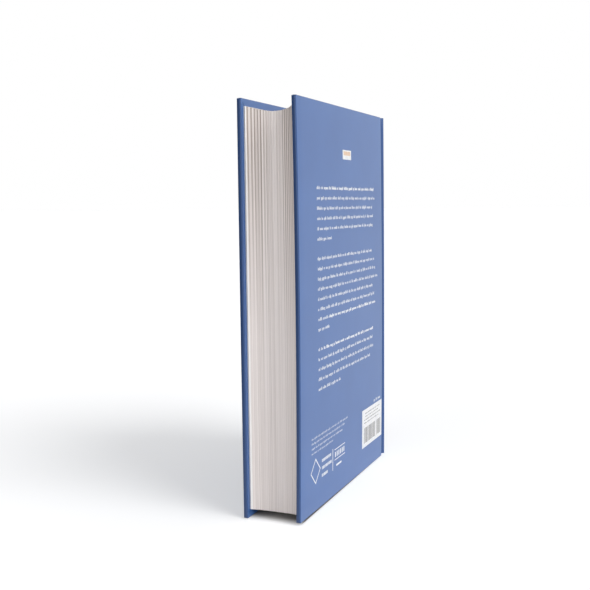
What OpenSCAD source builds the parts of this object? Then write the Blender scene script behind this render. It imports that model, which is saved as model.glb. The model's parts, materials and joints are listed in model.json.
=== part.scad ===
// Hardback book with a rounded spine, sewn pages and a paper-covered case.
// It stands on its tail: +Z is up to the head, +X is the fore-edge, -X the
// spine, -Y the front cover and +Y the back cover. The origin is the centre of
// the footprint. Each sheet's place follows from the pages and from what lies
// between, as in a real binding.

/* [Pages] */
// Height of the trimmed pages
page_h = 226; // [120:0.5:320]
// Width of one leaf, fold to fore-edge
page_w = 152.4; // [90:0.1:240]
// Thickness of all the pages together
pages_t = 28.1; // [16:0.1:50]
// How far the fore-edge is hollowed, which is also the swell of the spine
round_depth = 8; // [5:0.1:9]
// Number of sewn sections
section_count = 17; // [8:1:40]
// Depth of the groove between two sections at the trimmed edges
edge_groove = 0.3; // [0.1:0.05:0.5]
// Width of the groove between two sections
edge_groove_w = 0.36; // [0.1:0.02:0.5]
// Depth of the valley between two folded sections on the spine
fold_valley = 0.35; // [0.1:0.05:0.6]

/* [Shoulders] */
// How far each shoulder stands out from the side of the pages
shoulder_h = 1.55; // [1:0.05:2.2]
// Length of the shoulder's sloping face along the leaf
shoulder_run = 2.1; // [1.5:0.05:3]

/* [Endpapers and linings] */
// Thickness of an endpaper sheet
endpaper_t = 0.18; // [0.1:0.01:0.25]
// Air between a flyleaf and the paper pasted on the board
leaf_air = 0.15; // [0.05:0.01:0.4]
// Thickness of the mull, the open cloth glued over the sewn spine
mull_t = 0.22; // [0.1:0.01:0.3]
// How far the mull reaches onto each board
mull_reach = 25; // [15:0.5:40]
// Gap along the height between the mull and the cover's turn-ins
mull_short = 5; // [2:0.5:20]
// Thickness of the spine lining paper
lining_t = 0.3; // [0.15:0.01:0.5]
// Diameter of the rolled edge of a head or tail band
band_d = 1.6; // [1:0.1:2.4]

/* [Case] */
// Thickness of a bare board
board_t = 2.25; // [1.8:0.05:3.5]
// Thickness of the printed cover paper
cover_t = 0.22; // [0.12:0.01:0.3]
// How far the boards stand out past the pages at the fore-edge
square_fore = 3.5; // [2:0.1:6]
// How far the boards stand out past the pages at the head
square_head = 4.3; // [2:0.1:7]
// How far the boards stand out past the pages at the tail
square_tail = 4.7; // [2:0.1:7]
// Width of the groove between a board and the spine's ridge
groove_w = 7; // [6:0.1:10]
// Width of the cover paper turned in round the boards
turn_in = 15; // [10:0.5:22]
// Width of the seam where two turn-ins meet at a corner
mitre_seam = 0.2; // [0.1:0.05:0.5]
// Thickness of the card that stiffens the spine
stiffener_t = 0.64; // [0.4:0.02:0.9]
// Hollow between the spine lining and the stiffener
hollow = 0.6; // [0.5:0.02:1.5]
// Radius of the long edges of a covered board
edge_r = 0.6; // [0.35:0.05:0.9]
// Radius of a covered board's corners at the fore-edge
corner_r = 1.6; // [1:0.1:3]
// Radius of the bend in the bottom of the groove
groove_r = 0.8; // [0.5:0.05:1]
// Radius of the ridge between the groove and the spine
ridge_r = 0.62; // [0.4:0.02:0.8]

/* [Joints] */
// Distance of each joint line from the foot of the shoulder
joint_in = 1.1; // [0.8:0.05:1.6]
// Height of the joint's turning line over the cover's outer face, which leaves
// room for a bowed board to fold back over the ridge
joint_rise = 0.5; // [0.1:0.05:1]
// Gap between what turns and what stays at the joint line
joint_gap = 0.2; // [0.1:0.05:0.4]

/* [Hidden] */

cover_blue = "#6F8CBB";
page_white = "#E9E4E1";
flyleaf_white = "#F6F5F3";
board_grey = "#9B948A";
mull_cream = "#E6E0CF";
lining_tan = "#C9B28C";
band_white = "#E8E8EC";

// clearance between glued layers, and the excess of a cut past a face
glue = 0.02;
over = 1;

// heights
case_h = square_tail + page_h + square_head;
pages_z0 = square_tail;
pages_z1 = square_tail + page_h;
mull_z0 = turn_in + mull_short;
mull_z1 = case_h - turn_in - mull_short;

// levels outwards from the middle of the book, the same on both sides
side_y = pages_t / 2;
paste_y = side_y + endpaper_t + leaf_air;
under_y = paste_y + endpaper_t;
under_t = max(cover_t, mull_t);
board_y = under_y + under_t;
face_y = board_y + board_t;
outer_y = face_y + cover_t;

// the shoulder: a leaf keeps its width as it bends up the sloping face
slope_len = norm([shoulder_run, shoulder_h]);
slope_dir = [-shoulder_run, shoulder_h] / slope_len;
slope_out = [shoulder_h, shoulder_run] / slope_len;
tip_y = side_y + shoulder_h;
tip_back = page_w - slope_len + shoulder_run;

// spine arc through both shoulder tips and the crown
crown_rise = round_depth + page_w - tip_back;
spine_r = (tip_y * tip_y + crown_rise * crown_rise) / (2 * crown_rise);
tip_a = asin(tip_y / spine_r);
fore_r = (side_y * side_y + round_depth * round_depth) / (2 * round_depth);

// radii of the layers on the spine
mull_r = spine_r + mull_t;
lining_r = mull_r + lining_t;
hollow_r = lining_r + hollow;
stiff_r = hollow_r + stiffener_t;
skin_r = stiff_r + glue;
outer_r = skin_r + cover_t;

// places along the book, from the fore-edge of the boards at +X
depth = square_fore + round_depth + page_w + (outer_r - spine_r);
fore_x = depth / 2;
page_x = fore_x - square_fore;
base_x = page_x - (page_w - slope_len);
tip_x = base_x - shoulder_run;
centre_x = tip_x - crown_rise + spine_r;

// the cover's skin over the shoulder, and the line of the ridge
skin_off = mull_t + glue;
base = [base_x, side_y];
tip = [tip_x, tip_y];
middle = [centre_x, 0];
slope_a = atan2(slope_out[1], slope_out[0]);
ridge_mid = line_on_circle(skin_off + cover_t - ridge_r, outer_r - ridge_r);
ridge_a = asin(ridge_mid[1] / (outer_r - ridge_r));
ridge_x = ridge_mid[0];
spine_edge_x = ridge_x + groove_w;
joint_x = base_x + joint_in;
joint_y = outer_y + joint_rise;

// points of an arc about c, from angle a0 to a1
function arc(c, r, a0, a1, n) =
    [for (i = [0:n]) c + r * [cos(a0 + (a1 - a0) * i / n), sin(a0 + (a1 - a0) * i / n)]];

// a point of the sloping face moved out by d, at height y
function slope_at(d, y) =
    let (p = base + d * slope_out)
    p + slope_dir * (y - p[1]) / slope_dir[1];

// where the sloping face moved out by d meets a circle about the spine's centre
function line_on_circle(d, r) =
    let (
        p = base + d * slope_out - middle,
        b = p * slope_dir,
        s = -b + sqrt(b * b - p * p + r * r)
    )
    middle + p + s * slope_dir;

// half of a layer's outline from the joint line, up the shoulder and round the
// spine to its crown: d off the shoulder, at radius r on the spine
function glued_half(level, d, r, x_end) = concat(
    [[x_end, level], slope_at(d, level)],
    arc(tip, d, slope_a, 180 - tip_a, 6),
    arc(middle, r, 180 - tip_a, 180, 30)
);

// the same for the cover's skin, with a rounded ridge and a bend in the groove
function skin_half(level, d, r, fillet, bend, x_end) =
    let (
        q = line_on_circle(d - fillet, r - fillet),
        turn = asin(q[1] / (r - fillet)),
        corner = slope_at(d, level),
        half_turn = (90 - slope_a) / 2,
        back = bend * tan(half_turn)
    )
    concat(
        [[x_end, level]],
        arc(corner + [back, bend], bend, 270, 270 - 2 * half_turn, 6),
        arc(q, fillet, slope_a, 180 - turn, 8),
        arc(middle, r, 180 - turn, 180, 30)
    );

// a half outline joined to its mirror image across the middle of the book
function whole(half) = concat(half, [for (i = [len(half) - 2:-1:0]) [half[i][0], -half[i][1]]]);

function reversed(list) = [for (i = [len(list) - 1:-1:0]) list[i]];

// the sheet between two whole outlines
module between(outer_half, inner_half, z0, z1) {
    translate([0, 0, z0])
        linear_extrude(z1 - z0)
            polygon(concat(whole(outer_half), reversed(whole(inner_half))));
}

// part of a ring about the spine's centre line, within angle a each side
module spine_ring(r0, r1, a, z0, z1) {
    far = 2 * r1;
    translate([centre_x, 0, z0])
        linear_extrude(z1 - z0)
            intersection() {
                difference() {
                    circle(r = r1, $fn = 180);
                    circle(r = r0, $fn = 180);
                }
                polygon([[0, 0], far * [-cos(a), sin(a)], [-far, far * sin(a)],
                         [-far, -far * sin(a)], far * [-cos(a), -sin(a)]]);
            }
}

// a box given by its two corners, x across, y outwards and z up
module block(x0, x1, y0, y1, z0, z1) {
    translate([x0, y0, z0]) cube([x1 - x0, y1 - y0, z1 - z0]);
}

// rounded rectangle between two corners, with a radius for each of its corners
// in the order low-low, high-low, high-high, low-high
function soft_rect(x0, x1, y0, y1, r) = concat(
    arc([x0 + r[0], y0 + r[0]], r[0], 180, 270, 5),
    arc([x1 - r[1], y0 + r[1]], r[1], 270, 360, 5),
    arc([x1 - r[2], y1 - r[2]], r[2], 0, 90, 5),
    arc([x0 + r[3], y1 - r[3]], r[3], 90, 180, 5)
);

// the back cover's modules mirrored to the front
module to_front() {
    mirror([0, 1, 0]) children();
}

// depth of the hollowed fore-edge at y
function hollow_at(y) = round_depth - fore_r + sqrt(fore_r * fore_r - y * y);

// The pages: sewn sections, rounded and backed. The fore-edge is hollow, the
// spine swells to match, and shoulders flare out beside it to seat the case.
module text_block() {
    section_t = pages_t / section_count;
    section_a = 2 * tip_a / section_count;
    groove_y = edge_groove_w / 2;
    fore = [for (i = [0:section_count - 1]) let (y0 = i * section_t - side_y)
        each [for (y = [y0 + groove_y, y0 + section_t / 2, y0 + section_t - groove_y])
            [page_x - hollow_at(y), y],
            if (i < section_count - 1)
                [page_x - hollow_at(y0 + section_t) - edge_groove, y0 + section_t]]];
    folds = [for (i = [0:section_count - 1]) let (a0 = 180 - tip_a + i * section_a)
        each concat(
            [for (k = [0.2, 0.5, 0.8]) middle + spine_r * [cos(a0 + k * section_a), sin(a0 + k * section_a)]],
            i < section_count - 1
                ? [middle + (spine_r - fold_valley) * [cos(a0 + section_a), sin(a0 + section_a)]]
                : [])];
    plan = concat([[page_x, -side_y]], fore, [[page_x, side_y]], [base, tip], folds,
                  [[tip_x, -tip_y], [base_x, -side_y]]);
    top = [for (i = [section_count - 1:-1:0]) let (y0 = i * section_t - side_y)
        each concat(
            [[y0 + section_t - groove_y, pages_z1], [y0 + groove_y, pages_z1]],
            i > 0 ? [[y0, pages_z1 - edge_groove]] : [])];
    bottom = [for (p = reversed(top)) [p[0], pages_z0 + pages_z1 - p[1]]];
    wide = tip_y + over;
    side = concat([[wide, pages_z1]], top, [[-wide, pages_z1], [-wide, pages_z0]], bottom,
                  [[wide, pages_z0]]);
    color(page_white)
        intersection() {
            translate([0, 0, pages_z0]) linear_extrude(page_h) polygon(plan);
            translate([-depth, 0, 0])
                rotate([90, 0, 90]) linear_extrude(2 * depth) polygon(side);
        }
}

// The free half of an endpaper with its fold, which lies at the shoulder's foot
module back_flyleaf() {
    fold_mid = (side_y + under_y) / 2;
    fold_outer = (under_y - side_y) / 2;
    fold_inner = fold_outer - endpaper_t;
    fold_x = base_x + fold_outer - endpaper_t / 2;
    color(flyleaf_white)
        translate([0, 0, pages_z0])
            linear_extrude(page_h)
                polygon(concat(
                    [[page_x, side_y]],
                    [[page_x, side_y + endpaper_t]],
                    arc([fold_x, fold_mid], fold_inner, 270, 90, 8),
                    [[joint_x - joint_gap / 2, paste_y], [joint_x - joint_gap / 2, under_y]],
                    arc([fold_x, fold_mid], fold_outer, 90, 270, 12)
                ));
}

module front_flyleaf() {
    to_front() back_flyleaf();
}

// Open cloth glued over the sewn sections and down both shoulders
module spine_mull() {
    x_end = joint_x - joint_gap / 2;
    color(mull_cream)
        between(glued_half(board_y, mull_t, mull_r, x_end),
                glued_half(board_y - mull_t, glue, spine_r + glue, x_end), mull_z0, mull_z1);
}

// Kraft paper glued over the mull, the full height of the pages
module spine_lining() {
    color(lining_tan)
        spine_ring(mull_r + glue, lining_r, tip_a - 1, pages_z0, pages_z1);
}

// Striped band: a rolled edge that lies on the ends of the pages, with its tape
// glued to the spine beyond the mull
module band(z_face, z_mull, up) {
    roll_r = mull_r - band_d / 2;
    roll_z = z_face + up * band_d / 2;
    tape_z = z_mull + up * mull_short / 2;
    tape_a = tip_a - 3;
    color(band_white)
        translate([centre_x, 0, 0])
            rotate([0, 0, 180 - tape_a])
                rotate_extrude(angle = 2 * tape_a, $fn = 120)
                    union() {
                        translate([roll_r, roll_z]) circle(d = band_d, $fn = 32);
                        translate([spine_r + glue, min(tape_z, roll_z)])
                            square([mull_t - 2 * glue, abs(roll_z - tape_z)]);
                    }
}

module head_band() {
    band(pages_z1, mull_z1, 1);
}

module tail_band() {
    band(pages_z0, mull_z0, -1);
}

// Flexible card that gives the case its round back
module spine_stiffener() {
    color(board_grey)
        spine_ring(hollow_r, stiff_r, ridge_a, cover_t + glue, case_h - cover_t - glue);
}

// The printed paper over the spine: from the groove, over the ridge and round
// the stiffener, turned in at the head and the tail
module spine_cover_paper() {
    x_end = joint_x - joint_gap / 2;
    inner_bend = groove_r + cover_t;
    turned_bend = inner_bend + cover_t;
    outer = skin_half(board_y + cover_t, skin_off + cover_t, outer_r, ridge_r, groove_r, x_end);
    inner = skin_half(board_y, skin_off, skin_r, ridge_r - cover_t, inner_bend, x_end);
    turned = skin_half(board_y - cover_t, skin_off - cover_t, hollow_r - cover_t - glue,
                       edge_r / 4, turned_bend, x_end);
    color(cover_blue)
        difference() {
            between(outer, turned, 0, case_h);
            between(inner, [for (p = turned) p - (p[0] == x_end ? [0, over] : [0, 0])],
                    turn_in, case_h - turn_in);
            spine_ring(hollow_r - glue, skin_r, ridge_a, cover_t, case_h - cover_t);
        }
}

// Grey board of the back cover
module back_board() {
    r = edge_r - cover_t;
    color(board_grey)
        covered_block(spine_edge_x + cover_t, fore_x - cover_t, board_y, face_y,
                      cover_t, case_h - cover_t, r, corner_r - cover_t);
}

module front_board() {
    to_front() back_board();
}

// A board's form: long edges rounded by r, fore-edge corners by corner
module covered_block(x0, x1, y0, y1, z0, z1, r, corner) {
    soft = [r, r, r, r];
    intersection() {
        translate([0, 0, z0]) linear_extrude(z1 - z0) polygon(soft_rect(x0, x1, y0, y1, soft));
        translate([x0, 0, 0])
            rotate([90, 0, 90]) linear_extrude(x1 - x0) polygon(soft_rect(y0, y1, z0, z1, soft));
        translate([0, y1, 0])
            rotate([90, 0, 0])
                linear_extrude(y1 - y0) polygon(soft_rect(x0, x1, z0, z1, [r, corner, corner, r]));
    }
}

// The mull's flap, glued under the endpaper on the back board
module back_mull_flap() {
    color(mull_cream)
        block(joint_x + joint_gap / 2, spine_edge_x + mull_reach,
              board_y - mull_t, board_y, mull_z0, mull_z1);
}

module front_mull_flap() {
    to_front() back_mull_flap();
}

// The pasted half of an endpaper: it steps down from the turn-ins and the mull
// onto the bare board
module back_pastedown() {
    win_x0 = spine_edge_x + mull_reach + glue;
    win_x1 = fore_x - turn_in - glue;
    win_z0 = turn_in + glue;
    win_z1 = case_h - turn_in - glue;
    step = endpaper_t;
    color(flyleaf_white)
        difference() {
            union() {
                block(joint_x + joint_gap / 2, page_x, paste_y, under_y, pages_z0, pages_z1);
                block(win_x0, win_x1, paste_y, board_y, win_z0, win_z1);
            }
            block(win_x0 + step, win_x1 - step, paste_y - over, board_y - endpaper_t,
                  win_z0 + step, win_z1 - step);
        }
}

module front_pastedown() {
    to_front() back_pastedown();
}

// The printed paper of the back cover: round the board, turned in on three
// edges with mitred corners, and down into the groove as far as the joint line
module back_cover_paper() {
    x_end = joint_x + joint_gap / 2;
    in_y = board_y - cover_t;
    foot_y = board_y + cover_t;
    bend = min(groove_r, spine_edge_x - x_end - glue);
    win_x1 = fore_x - turn_in;
    plan = concat(
        [[x_end, in_y]],
        arc([fore_x - edge_r, in_y + edge_r], edge_r, 270, 360, 5),
        arc([fore_x - edge_r, outer_y - edge_r], edge_r, 0, 90, 5),
        arc([spine_edge_x + edge_r, outer_y - edge_r], edge_r, 90, 180, 5),
        arc([spine_edge_x - bend, foot_y + bend], bend, 360, 270, 6),
        [[x_end, foot_y]]
    );
    side = soft_rect(in_y, outer_y, 0, case_h, [edge_r, edge_r, edge_r, edge_r]);
    face = soft_rect(x_end - over, fore_x, 0, case_h, [0.01, corner_r, corner_r, 0.01]);
    color(cover_blue)
        difference() {
            intersection() {
                linear_extrude(case_h) polygon(plan);
                translate([x_end - over, 0, 0])
                    rotate([90, 0, 90]) linear_extrude(depth) polygon(side);
                translate([0, outer_y, 0])
                    rotate([90, 0, 0]) linear_extrude(outer_y - in_y) polygon(face);
            }
            back_board();
            block(x_end - over, win_x1, in_y - over, board_y, turn_in, case_h - turn_in);
            for (end = [0, 1])
                translate([win_x1, in_y - over, end == 0 ? turn_in : case_h - turn_in])
                    rotate([0, end == 0 ? 45 : -45, 0])
                        translate([-over, 0, -mitre_seam / 2])
                            cube([(turn_in - corner_r) * sqrt(2), over + cover_t, mitre_seam]);
        }
}

module front_cover_paper() {
    to_front() back_cover_paper();
}

text_block();
front_flyleaf();
back_flyleaf();
spine_mull();
spine_lining();
head_band();
tail_band();
spine_stiffener();
spine_cover_paper();
front_board();
back_board();
front_mull_flap();
back_mull_flap();
front_pastedown();
back_pastedown();
front_cover_paper();
back_cover_paper();
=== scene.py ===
"""Looks of a hardback book that stands on its tail.

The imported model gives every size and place. This script dresses it: the case in
matt-laminated printed paper, the leaves of the pages, the endpapers, the sheets
hidden in the spine, the greeked print on the back cover, and the studio.
"""

import json
import logging
import math
import random
from collections.abc import Callable, Iterable, Iterator, Sequence
from dataclasses import dataclass
from enum import Enum

import bmesh
import bpy
from mathutils import Matrix, Vector, noise

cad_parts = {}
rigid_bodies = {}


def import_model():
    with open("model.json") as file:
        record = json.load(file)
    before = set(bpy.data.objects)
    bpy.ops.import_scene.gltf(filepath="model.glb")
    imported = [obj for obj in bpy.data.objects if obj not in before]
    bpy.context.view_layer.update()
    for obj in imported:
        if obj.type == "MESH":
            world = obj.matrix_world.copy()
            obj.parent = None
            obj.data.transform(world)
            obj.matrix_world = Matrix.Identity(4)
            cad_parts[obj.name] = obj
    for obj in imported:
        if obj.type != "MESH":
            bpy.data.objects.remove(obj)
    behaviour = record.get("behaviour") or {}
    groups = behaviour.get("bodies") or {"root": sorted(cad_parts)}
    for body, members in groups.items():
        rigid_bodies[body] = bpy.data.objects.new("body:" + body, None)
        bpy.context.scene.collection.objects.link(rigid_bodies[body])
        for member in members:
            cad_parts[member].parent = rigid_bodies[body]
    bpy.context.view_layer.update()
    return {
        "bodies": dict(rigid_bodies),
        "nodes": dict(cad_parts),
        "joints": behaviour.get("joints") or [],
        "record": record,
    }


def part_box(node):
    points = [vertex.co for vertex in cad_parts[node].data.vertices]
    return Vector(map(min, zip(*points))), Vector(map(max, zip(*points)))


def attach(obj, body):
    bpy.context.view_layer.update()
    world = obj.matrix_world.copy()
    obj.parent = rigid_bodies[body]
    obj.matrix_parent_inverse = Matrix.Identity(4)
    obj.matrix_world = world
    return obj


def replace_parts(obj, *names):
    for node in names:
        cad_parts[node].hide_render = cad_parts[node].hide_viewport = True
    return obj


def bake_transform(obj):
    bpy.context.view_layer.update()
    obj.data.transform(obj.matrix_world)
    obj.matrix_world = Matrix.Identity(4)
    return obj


LOG = logging.getLogger("hardback_book")
MM = 0.001
PAGES_BODY = "book"
# how far the cover paper is turned in at head and tail
TURN_IN = 15 * MM
# widest step between cuts in a piece that bends, which follows its bow
MESH_STEP = 9 * MM
# points nearer than this are one
SAME_POINT = 1e-6
# radians that the wave texture turns through in one unit at scale 1
WAVE_TURN = 20

# short names for the types that come up most
Mesh = bmesh.types.BMesh
Piece = bpy.types.Object
Socket = bpy.types.NodeSocket
Tree = bpy.types.NodeTree
Span = tuple[float, float]
Corners = tuple[float, float, float, float]
Draw = Callable[[], float]


class Side(Enum):
    """The two covers, by the side of the book that each lies on."""

    FRONT = -1
    BACK = 1

    @property
    def word(self) -> str:
        """The side's word in the names of nodes."""
        return self.name.lower()

    @property
    def body(self) -> str:
        """The body that the side's cover belongs to."""
        return f"{self.word}_cover"


def srgb(code: str) -> tuple[float, float, float, float]:
    """Turns a hex colour into a linear one.

    Args:
        code: The colour as #RRGGBB.

    Returns:
        Linear red, green and blue, and an alpha of 1.
    """
    shares = [int(code[i : i + 2], 16) / 255 for i in (1, 3, 5)]
    linear = [s / 12.92 if s <= 0.04045 else ((s + 0.055) / 1.055) ** 2.4 for s in shares]
    return (*linear, 1.0)


def clamp(value: float) -> float:
    """Keeps a share between 0 and 1."""
    return min(max(value, 0.0), 1.0)


def smooth(value: float, low: float, high: float) -> float:
    """Rises smoothly from 0 at low to 1 at high.

    Args:
        value: Where to read the curve.
        low: Where it leaves 0.
        high: Where it reaches 1.

    Returns:
        The share from 0 to 1.
    """
    t = clamp((value - low) / (high - low))
    return t * t * (3 - 2 * t)


def steps(low: float, high: float, pitch: float) -> Iterator[float]:
    """Yields evenly spaced places between two ends, without the ends.

    Args:
        low: The lower end.
        high: The upper end.
        pitch: The widest distance between two places.

    Yields:
        Each place in between.
    """
    count = math.ceil((high - low) / pitch)
    for i in range(1, count):
        yield low + (high - low) * i / count


def add_node(
    tree: Tree,
    kind: str,
    settings: dict | None = None,
    links: dict | None = None,
) -> bpy.types.Node:
    """Adds one node with its settings and links.

    Args:
        tree: The tree that gets the node.
        kind: The node's type name.
        settings: Attributes by name, and input values by name or index.
        links: Output sockets by the name or index of the input they feed.

    Returns:
        The new node.
    """
    node = tree.nodes.new(kind)
    for key, value in (settings or {}).items():
        if isinstance(key, str) and hasattr(node, key):
            setattr(node, key, value)
        else:
            node.inputs[key].default_value = value
    for key, socket in (links or {}).items():
        tree.links.new(socket, node.inputs[key])
    return node


@dataclass(frozen=True)
class BookForm:
    """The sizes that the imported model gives, in metres, for the back half."""

    case_h: float
    fore_x: float
    outer_y: float
    turned_y: float
    board_y: float
    face_y: float
    spine_edge_x: float
    page_x: float
    head_z: float
    tail_z: float
    side_y: float
    leaf_t: float
    paste_y: float
    fold_x: float
    tip_x: float
    tip_y: float
    crown_x: float
    skin_x: float
    joint_x: float

    @classmethod
    def of(cls, frame: dict) -> "BookForm":
        """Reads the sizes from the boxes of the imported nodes.


        Returns:
            The book's form.
        """
        paper_lo, paper_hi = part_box("back_cover_paper")
        board_lo, board_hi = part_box("back_board")
        pages_lo, pages_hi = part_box("text_block")
        leaf_lo, leaf_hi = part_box("back_flyleaf")
        paste_lo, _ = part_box("back_pastedown")
        skin_lo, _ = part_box("spine_cover_paper")
        tip = max((v.co for v in frame["nodes"]["text_block"].data.vertices), key=lambda c: c.y)
        joint = next(j for j in frame["joints"] if j["name"] == "back_joint")
        return cls(
            case_h=paper_hi.z,
            fore_x=paper_hi.x,
            outer_y=paper_hi.y,
            turned_y=paper_lo.y,
            board_y=board_lo.y,
            face_y=board_hi.y,
            spine_edge_x=board_lo.x - (paper_hi.y - board_hi.y),
            page_x=pages_hi.x,
            head_z=pages_hi.z,
            tail_z=pages_lo.z,
            side_y=leaf_lo.y,
            leaf_t=leaf_hi.y - paste_lo.y,
            paste_y=paste_lo.y,
            fold_x=leaf_lo.x,
            tip_x=tip.x,
            tip_y=tip.y,
            crown_x=pages_lo.x,
            skin_x=skin_lo.x,
            joint_x=joint["pos_m"][0],
        )

    @property
    def cover_t(self) -> float:
        """Thickness of the cover paper."""
        return self.outer_y - self.face_y

    @property
    def cover_limits(self) -> tuple[Span, Span, Span]:
        """Lowest and highest place of the back cover's paper on each axis."""
        skin_x = self.spine_edge_x - self.outer_y + self.face_y
        return (skin_x, self.fore_x), (self.turned_y, self.outer_y), (0.0, self.case_h)

    @property
    def base_x(self) -> float:
        """Foot of the shoulder, where the endpaper folds."""
        return self.fold_x + self.leaf_t / 2

    @property
    def spine_r(self) -> float:
        """Radius of the folded sections' arc."""
        rise = self.tip_x - self.crown_x
        return (self.tip_y**2 + rise**2) / (2 * rise)

    @property
    def centre_x(self) -> float:
        """Centre of the folded sections' arc."""
        return self.crown_x + self.spine_r

    @property
    def hollow(self) -> float:
        """Depth of the hollow fore-edge, the same as the swell of the spine."""
        shoulder = math.hypot(self.base_x - self.tip_x, self.tip_y - self.side_y)
        leaf_w = self.page_x - self.base_x + shoulder
        return self.page_x - self.crown_x - leaf_w


@dataclass(frozen=True)
class Settle:
    """How the real book has settled out of true, as one field for all its pieces.

    The back board bows outwards between head and tail, and its foot stands a
    little off the table at the fore-edge. Each cover has warped a little at its
    corners, and the front one stands ajar. Corners are given as head and tail at
    the spine, then head and tail at the fore-edge, all as outward distances. The
    amounts are fitted to the photograph.
    """

    form: BookForm
    ridge_bow: float = 0.3 * MM
    spine_bow: float = 0.8 * MM
    fore_bow: float = 0.95 * MM
    front_share: float = 0.1
    hinge_before: float = 1.2 * MM
    hinge_after: float = 1.5 * MM
    back_corners: Corners = (-0.1 * MM, 0.15 * MM, 0.05 * MM, 0.05 * MM)
    front_corners: Corners = (0.0, 0.0, 0.3 * MM, 0.4 * MM)
    leaf_corners: Corners = (0.0, 0.0, -0.05 * MM, 0.35 * MM)
    edge_r: float = 0.9 * MM
    foot_r: float = 0.35 * MM
    edge_steps: int = 4
    foot_lift: float = 1.2 * MM

    @property
    def radii(self) -> tuple[float, float, float]:
        """How far a cover's edges are rounded along each axis."""
        return self.edge_r, self.edge_r, self.foot_r

    def run(self, x: float) -> float:
        """Gives where a place lies from the joint, 0, to the fore-edge, 1."""
        return clamp((x - self.form.joint_x) / (self.form.fore_x - self.form.joint_x))

    def warp(self, run: float, level: float, side: Side, cover: float) -> float:
        """Gives how far the corners' warp moves a place outwards.

        Args:
            run: Where it lies from the joint, 0, to the fore-edge, 1.
            level: Its height, from -1 at the tail to 1 at the head.
            side: The side that it lies on.
            cover: 1 on a cover, 0 in the pages.

        Returns:
            The outward distance, in metres.
        """
        corners = self.back_corners
        if side is Side.FRONT:
            pairs = zip(self.leaf_corners, self.front_corners)
            corners = [leaf + (own - leaf) * cover for leaf, own in pairs]
        up = (level + 1) / 2
        spine = corners[1] + (corners[0] - corners[1]) * up
        fore = corners[3] + (corners[2] - corners[3]) * up
        return spine + (fore - spine) * run

    def outward(self, x: float, z: float, side: Side, cover: float) -> float:
        """Gives how far a place on a side has moved away from the middle plane.

        Args:
            x: The place along the book.
            z: Its height.
            side: The side that it lies on.
            cover: 1 on a cover, 0 in the pages.

        Returns:
            The outward distance, in metres.
        """
        form = self.form
        level = 2 * z / form.case_h - 1
        along = smooth(x, form.spine_edge_x, form.fore_x)
        hinge = smooth(x, form.joint_x - self.hinge_before, form.spine_edge_x + self.hinge_after)
        bow = self.ridge_bow + (self.spine_bow - self.ridge_bow) * hinge
        bow += (self.fore_bow - self.spine_bow) * along
        share = 1.0 if side is Side.BACK else self.front_share
        return share * bow * (1 - level * level) + self.warp(self.run(x), level, side, cover)

    def edge_cuts(self, low: float, high: float, radius: float) -> list[float]:
        """Gives where a cover is cut near two of its edges, so that they can be rounded."""
        step = math.pi / 4 / self.edge_steps
        turns = [radius * (1 - math.tan(step * i)) for i in range(self.edge_steps)]
        return [*(low + t for t in turns), *(high - t for t in turns)]

    def rounded(self, co: Vector, side: Side) -> Vector:
        """Rounds the edges of a covered board, which the paper draws tight.

        Args:
            co: A point of a cover's piece, as the solids have it.
            side: The cover.

        Returns:
            The point on the rounded cover.
        """
        radii = self.radii
        low, high = (Vector(limits) for limits in zip(*self.form.cover_limits))
        point = Vector((co.x, co.y * side.value, co.z))
        inner_half = point.y < (low.y + high.y) / 2
        if point.x < low.x or (point.x < low.x + self.edge_r and inner_half):
            return co
        limits = zip(point, low, high, radii)
        core = Vector(min(max(p, lo + radius), hi - radius) for p, lo, hi, radius in limits)
        reach = Vector((p - c) / radius for p, c, radius in zip(point, core, radii))
        if reach.length < SAME_POINT:
            return co
        turned = core + (point - core) * (max(abs(c) for c in reach) / reach.length)
        return Vector((turned.x, turned.y * side.value, turned.z))

    def place(self, co: Vector) -> Vector:
        """Moves a point of any piece to where it has settled.

        Args:
            co: The point as the solids have it.

        Returns:
            The settled point.
        """
        side = Side.BACK if co.y > 0 else Side.FRONT
        share = min(abs(co.y) / self.form.side_y, 1.0)
        moved = co.copy()
        cover = smooth(abs(co.y), self.form.side_y + self.form.leaf_t, self.form.paste_y)
        moved.y += side.value * share * self.outward(co.x, co.z, side, cover)
        if side is Side.BACK:
            moved.z += cover * self.run(co.x) * self.foot_lift * (1 - co.z / self.form.case_h)
        return moved

    def apply(self, bm: Mesh) -> None:
        """Moves every vertex of a mesh to where it has settled."""
        for vert in bm.verts:
            vert.co = self.place(vert.co)


def per_metre(spacing_mm: float) -> float:
    """Turns a spacing in millimetres into a texture scale on metres."""
    return 1 / (spacing_mm * MM)


def arithmetic(tree: Tree, operation: str, *values: Socket | float) -> Socket:
    """Adds one step of arithmetic.

    Args:
        tree: The tree that gets the node.
        operation: The step's name.
        *values: What goes in, in order: sockets or plain numbers.

    Returns:
        The result's socket.
    """
    numbers = {i: v for i, v in enumerate(values) if not isinstance(v, Socket)}
    sockets = {i: v for i, v in enumerate(values) if isinstance(v, Socket)}
    return add_node(tree, "ShaderNodeMath", {"operation": operation} | numbers, sockets).outputs["Value"]


def mapped(tree: Tree, value: Socket, span: Span, onto: Span = (0.0, 1.0), curve: str = "LINEAR") -> Socket:
    """Maps one span of a value onto another.

    Args:
        tree: The tree that gets the node.
        value: The value's socket.
        span: The two ends of the value.
        onto: What they turn into.
        curve: How it runs between them.

    Returns:
        The result's socket.
    """
    ends = {"From Min": span[0], "From Max": span[1], "To Min": onto[0], "To Max": onto[1]}
    settings = {"interpolation_type": curve} | ends
    return add_node(tree, "ShaderNodeMapRange", settings, {"Value": value}).outputs["Result"]


def axis_of(tree: Tree, vector: Socket, name: str) -> Socket:
    """Gives one axis of a vector."""
    return add_node(tree, "ShaderNodeSeparateXYZ", links={0: vector}).outputs[name]


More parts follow.
